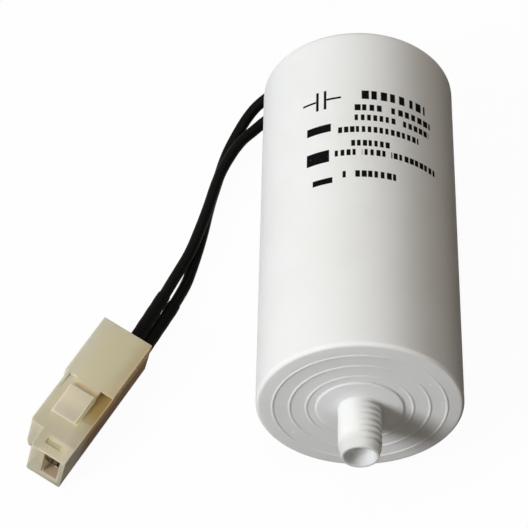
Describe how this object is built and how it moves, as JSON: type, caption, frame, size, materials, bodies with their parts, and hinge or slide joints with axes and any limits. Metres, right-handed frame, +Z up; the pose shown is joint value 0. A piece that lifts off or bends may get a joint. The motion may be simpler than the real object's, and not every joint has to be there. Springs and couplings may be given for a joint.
{
  "type": "motor run capacitor",
  "caption": "Round motor run capacitor in a white moulded case with a threaded mounting stud, and black leads to a small nylon plug.",
  "frame": {"origin": "on the case's axis, in the seating plane of the ribbed end face, where the stud leaves it", "axes": "+Y runs along the case's axis, away from the stud to the potted end; the stud points to -Y; +Z is up as the part lies on a table, whose surface is at z = -19 mm; +X is away from the plug"},
  "size_m": [0.0805, 0.0998, 0.038],
  "materials": {
    "case_plastic": "satin white moulded polypropylene",
    "film": "wound metallised film, silvery grey",
    "core_plastic": "plain moulded plastic tube",
    "zinc_spray": "grainy flame-sprayed zinc",
    "solder": "smooth solder",
    "potting_resin": "cast epoxy, pale grey, slightly glossy",
    "wire_insulation": "black soft PVC insulation",
    "shrink_sleeve": "black heat-shrink sleeve",
    "copper_strand": "bare stranded copper",
    "contact_brass": "formed brass strip",
    "housing_nylon": "natural translucent nylon, cream"
  },
  "bodies": {
    "root": {"case": "case_plastic", "film_winding": "film", "winding_core": "core_plastic", "end_spray_inner": "zinc_spray", "end_spray_outer": "zinc_spray", "solder_inner": "solder", "solder_outer": "solder", "resin_fill": "potting_resin", "lead_root_a": "wire_insulation", "lead_root_b": "wire_insulation", "lead_a": "wire_insulation", "lead_b": "wire_insulation", "lead_tip_a": "wire_insulation", "lead_tip_b": "wire_insulation", "sleeve_a": "shrink_sleeve", "sleeve_b": "shrink_sleeve", "conductor_end_a": "copper_strand", "conductor_end_b": "copper_strand", "contact_a": "contact_brass", "contact_b": "contact_brass", "connector_housing": "housing_nylon"}
  },
  "joints": []
}
